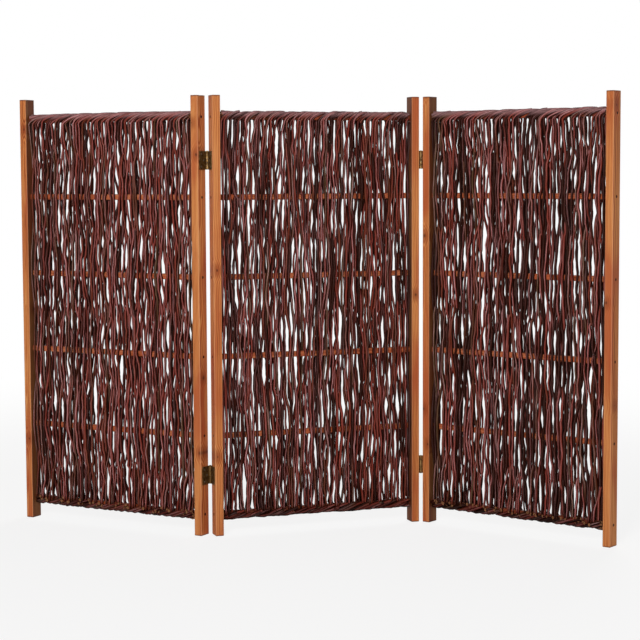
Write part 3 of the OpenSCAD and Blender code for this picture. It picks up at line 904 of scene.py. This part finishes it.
def rod_lines(rng, panel):
    """A mesh of points and edges, one chain for each rod, that keeps each rod's size and tone."""
    run = RUNS[panel]
    rods = (COLUMNS[panel] + 1) // 2 + run // 2
    own_size = ROD_R * (1 + ROD_SPREAD * rng.uniform(-1, 1, rods))
    own_tone = rng.uniform(*TONE_RANGE[panel], rods)
    own_lift = LIFT_STEP * (np.arange(rods) % 2) + rng.uniform(0, LIFT_SPREAD, rods)
    stubs = rng.choice(rods, STUBS, replace=False)
    legs = settled_columns(rng, panel, run, own_size)
    points, edges, tones = [], [], []
    for rod in range(rods):
        left = 2 * (rod - run // 2)
        chain = rod_chain(rng, panel, legs, left, left + run, own_size[rod], own_lift[rod], rod in stubs)
        for stretch in kept_stretches(chain):
            edges += [(i, i + 1) for i in range(len(points), len(points) + len(stretch) - 1)]
            points += stretch
            tones += [own_tone[rod]] * len(stretch)
    mesh = bpy.data.meshes.new(f"{panel}_rod_lines")
    mesh.from_pydata([point[:3] for point in points], edges, [])
    sizes, lengths = [point[3] for point in points], [point[4] for point in points]
    for name, values in (("rod_radius", sizes), ("rod_length", lengths), ("rod_tone", tones)):
        mesh.attributes.new(name, "FLOAT", "POINT").data.foreach_set("value", values)
    return mesh


print("rods with a foot in a panel:", {panel: (COLUMNS[panel] + 1) // 2 for panel in PANELS})

# %% [markdown]
# ## The skin of the rods
# A bevelled curve would give each rod its thickness, but its buds would be set point by point.
# So Geometry Nodes turn each chain of points into a curve and sweep a ring with few sides along
# it, scaled by the rod's own radius with a little swelling at the buds. They close the ends,
# and give bark to the sides and cut wood to the ends. The ring's own coordinates stay on the
# surface, so that the bark's streaks can follow the rod.

# %% Buds
# How far the buds of two rods of unlike tone lie apart in the noise that makes them
BUD_SHIFT = 97.0


def budded_radius(tree, given):
    """A rod's radius at each point, which swells now and then along the rod."""
    length, tone, radius = [add_node(tree, "GeometryNodeInputNamedAttribute", {"data_type": "FLOAT"},
                                     {"Name": name}) for name in ("rod_length", "rod_tone", "rod_radius")]
    step = add_node(tree, "ShaderNodeMath", {"operation": "DIVIDE"}, {0: length, 1: given["Bud Spacing"]})
    own = add_node(tree, "ShaderNodeMath", TIMES_PLUS, {0: tone, 1: BUD_SHIFT, 2: step})
    place = add_node(tree, "ShaderNodeCombineXYZ", inputs={0: own, 1: given["Seed"]})
    buds = add_node(tree, "ShaderNodeTexNoise", inputs={"Vector": place, "Scale": 1.0, "Detail": 1.0})
    swell = add_node(tree, "ShaderNodeMapRange",
                     inputs={"Value": buds, "From Min": 0.5, "From Max": 0.8,
                             "To Min": 1.0, "To Max": given["Bud Swell"]})
    return add_node(tree, "ShaderNodeMath", TIMES, {0: radius, 1: swell})


print("the buds of the darkest and the lightest rod lie", BUD_SHIFT, "bud spacings apart")

# %% Node tree of the skin
def rod_skin_tree():
    """The tree that turns the rods' lines into round rods."""
    tree = bpy.data.node_groups.new("rod skin", "GeometryNodeTree")
    kinds = {"Lines": "Geometry", "Bud Swell": "Float", "Bud Spacing": "Float", "Seed": "Int", "Sides": "Int",
             "Bark": "Material", "Cut End": "Material"}
    for name, kind in kinds.items():
        tree.interface.new_socket(name=name, in_out="INPUT", socket_type="NodeSocket" + kind)
    tree.interface.new_socket(name="Weave", in_out="OUTPUT", socket_type="NodeSocketGeometry")
    given = add_node(tree, "NodeGroupInput").outputs
    lines = add_node(tree, "GeometryNodeMeshToCurve", inputs={"Mesh": given["Lines"]})

    # A ring with few sides is swept along each line, which swells at the buds
    thickness = budded_radius(tree, given)
    ring = add_node(tree, "GeometryNodeCurvePrimitiveCircle",
                    inputs={"Resolution": given["Sides"], "Radius": 1.0})
    around = add_node(tree, "GeometryNodeInputPosition")
    ring = add_node(tree, "GeometryNodeStoreNamedAttribute", {"data_type": "FLOAT_VECTOR", "domain": "POINT"},
                    {"Geometry": ring, "Name": "rod_ring", "Value": around})
    skin = add_node(tree, "GeometryNodeCurveToMesh",
                    inputs={"Curve": lines, "Profile Curve": ring, "Scale": thickness, "Fill Caps": True})

    # How squarely each place faces out of the panel, to the front or the back
    facing = add_node(tree, "GeometryNodeInputNormal").outputs["Normal"]
    through = add_node(tree, "ShaderNodeSeparateXYZ", inputs={0: facing}).outputs["Y"]
    outward = add_node(tree, "ShaderNodeMath", {"operation": "ABSOLUTE"}, {0: through})
    skin = add_node(tree, "GeometryNodeStoreNamedAttribute", {"data_type": "FLOAT", "domain": "POINT"},
                    {"Geometry": skin, "Name": "rod_outward", "Value": outward})

    # A side face has four corners, and an end has as many as the ring
    corners = add_node(tree, "GeometryNodeInputMeshFaceNeighbors").outputs["Vertex Count"]
    is_cap = add_node(tree, "ShaderNodeMath", {"operation": "GREATER_THAN"}, {0: corners, 1: 4.5})
    is_side = add_node(tree, "ShaderNodeMath", {"operation": "LESS_THAN"}, {0: corners, 1: 4.5})
    smooth = add_node(tree, "GeometryNodeSetShadeSmooth", inputs={"Geometry": skin, "Selection": is_side})
    whole = add_node(tree, "GeometryNodeRealizeInstances", inputs={"Geometry": smooth})
    barked = add_node(tree, "GeometryNodeSetMaterial", inputs={"Geometry": whole, "Material": given["Bark"]})
    ended = add_node(tree, "GeometryNodeSetMaterial",
                     inputs={"Geometry": barked, "Selection": is_cap, "Material": given["Cut End"]})
    add_node(tree, "NodeGroupOutput", inputs={"Weave": ended})
    return tree


rod_skin = rod_skin_tree()
print("nodes in the skin's tree:", len(rod_skin.nodes))

# %% [markdown]
# ## Three weaves
# Each panel's rods could be hundreds of objects, but on the real screen a weave is one plaited
# piece. So the tree's result is turned into one plain mesh a panel. It is moved to the panel's
# place, rides on it, and stands for the three plainer sections of the construction model.

# %% Grow the weaves
SEEDS = {"left": 3, "centre": 8, "right": 14}
SKIN_SIDES, BUD_SWELL, BUD_SPACING = 8, 1.12, 45 * MM


def grow_weave(panel):
    """One panel's willow as one mesh, in its place."""
    lines = rod_lines(np.random.default_rng(SEEDS[panel]), panel)
    weave = bpy.data.objects.new(f"{panel}_panel_willow_weave", lines)
    scene.collection.objects.link(weave)
    modifier = weave.modifiers.new("skin", "NODES")
    modifier.node_group = rod_skin
    values = {"Bud Swell": BUD_SWELL, "Bud Spacing": BUD_SPACING, "Seed": SEEDS[panel], "Sides": SKIN_SIDES,
              "Bark": bark, "Cut End": cut_end}
    for socket in rod_skin.interface.items_tree:
        if socket.in_out == "INPUT" and socket.name in values:
            modifier[socket.identifier] = values[socket.name]
    layers = bpy.context.evaluated_depsgraph_get()
    grown = bpy.data.meshes.new_from_object(weave.evaluated_get(layers), preserve_all_data_layers=True,
                                            depsgraph=layers)
    weave.modifiers.remove(modifier)
    weave.data = grown
    place = places[panel]
    grown.transform(Matrix.Translation(place["start"]) @ Matrix.Rotation(place["turn"], 4, "Z"))
    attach(weave, f"{panel}_panel")
    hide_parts(*[f"{panel}_panel_{section}_willow_rods" for section in SECTIONS])
    return weave


weaves = [grow_weave(panel) for panel in PANELS]
for weave in weaves:
    print(weave.name, "triangles:", sum(len(p.vertices) - 2 for p in weave.data.polygons),
          "materials:", [m.name for m in weave.data.materials])

# %% [markdown]
# ## Floor and light
# The floor is pale and plain. A floor of one colour would end in a horizon behind the weave, so
# this one keeps the soft shadow under the screen and fades to the background's white with
# distance. The main lamp is soft, and stands a little to the left of the camera and above it.
# A weak one fills from the right, one behind the screen lights its edges and the floor, and a
# faint sky does the rest. The background is white only where it is seen, as such or mirrored.

# %% Floor
FLOOR_HALF = 9.0
FADE_FROM, FADE_TO = 1.3, 4.0
NEAR_GLOW = 0.83


def pale_floor():
    """Matt white paint that fades to plain white light with distance, for the camera alone."""
    material, tree = new_material("pale_floor")
    place = add_node(tree, "ShaderNodeTexCoord").outputs["Object"]
    away = add_node(tree, "ShaderNodeVectorMath", {"operation": "LENGTH"}, {0: place}).outputs["Value"]
    fade = add_node(tree, "ShaderNodeMapRange", SMOOTH,
                    {"Value": away, "From Min": FADE_FROM, "From Max": FADE_TO, "To Min": NEAR_GLOW})
    paint = add_node(tree, "ShaderNodeBsdfPrincipled",
                     inputs={"Base Color": linear("#f6f5f3"), "Roughness": 0.9})
    glow = add_node(tree, "ShaderNodeEmission", inputs={"Color": (1, 1, 1, 1), "Strength": 1.0})
    seen = add_node(tree, "ShaderNodeLightPath").outputs["Is Camera Ray"]
    part = add_node(tree, "ShaderNodeMath", TIMES, {0: fade, 1: seen})
    mixed = add_node(tree, "ShaderNodeMixShader", inputs={0: part, 1: paint, 2: glow})
    add_node(tree, "ShaderNodeOutputMaterial", inputs={"Surface": mixed})
    return material


floor_mesh = bpy.data.meshes.new("floor")
floor_mesh.from_pydata([(x * FLOOR_HALF, y * FLOOR_HALF, 0) for x, y in ((-1, -1), (1, -1), (1, 1), (-1, 1))],
                       [], [(0, 1, 2, 3)])
floor_mesh.materials.append(pale_floor())
floor = bpy.data.objects.new("floor", floor_mesh)
scene.collection.objects.link(floor)
print("floor", 2 * FLOOR_HALF, "m wide")

# %% Lamps
LAMPS_AIM = Vector((0, 0, post_h / 2))


def soft_lamp(name, at, watts, width):
    """A square lamp that faces the middle of the screen."""
    data = bpy.data.lights.new(name, "AREA")
    data.energy = watts
    data.size = width
    lamp = bpy.data.objects.new(name, data)
    turn = (LAMPS_AIM - Vector(at)).to_track_quat("-Z", "Y").to_matrix().to_4x4()
    lamp.matrix_world = Matrix.Translation(at) @ turn
    scene.collection.objects.link(lamp)


soft_lamp("key_lamp", at=(-1.2, -5.3, 2.5), watts=205, width=1.2)
soft_lamp("fill_lamp", at=(3.8, -3.6, 2.0), watts=10, width=2.5)
soft_lamp("back_lamp", at=(1.5, 4.2, 3.2), watts=110, width=2.5)

# %% Sky
SKY_STRENGTH, SEEN_STRENGTH = 0.1, 1.0

world = bpy.data.worlds.new("studio")
world.use_nodes = True
sky = world.node_tree
sky.nodes.clear()
path = add_node(sky, "ShaderNodeLightPath").outputs
shown = path["Is Camera Ray"]
for ray in ("Is Glossy Ray", "Is Transmission Ray"):
    shown = add_node(sky, "ShaderNodeMath", {"operation": "MAXIMUM"}, {0: shown, 1: path[ray]}).outputs[0]
strength = add_node(sky, "ShaderNodeMapRange",
                    inputs={"Value": shown, "To Min": SKY_STRENGTH, "To Max": SEEN_STRENGTH})
light = add_node(sky, "ShaderNodeBackground", inputs={"Color": (1, 1, 1, 1), "Strength": strength})
add_node(sky, "ShaderNodeOutputWorld", inputs={"Surface": light})
scene.world = world
print("sky strength:", SKY_STRENGTH, "and as seen:", SEEN_STRENGTH)
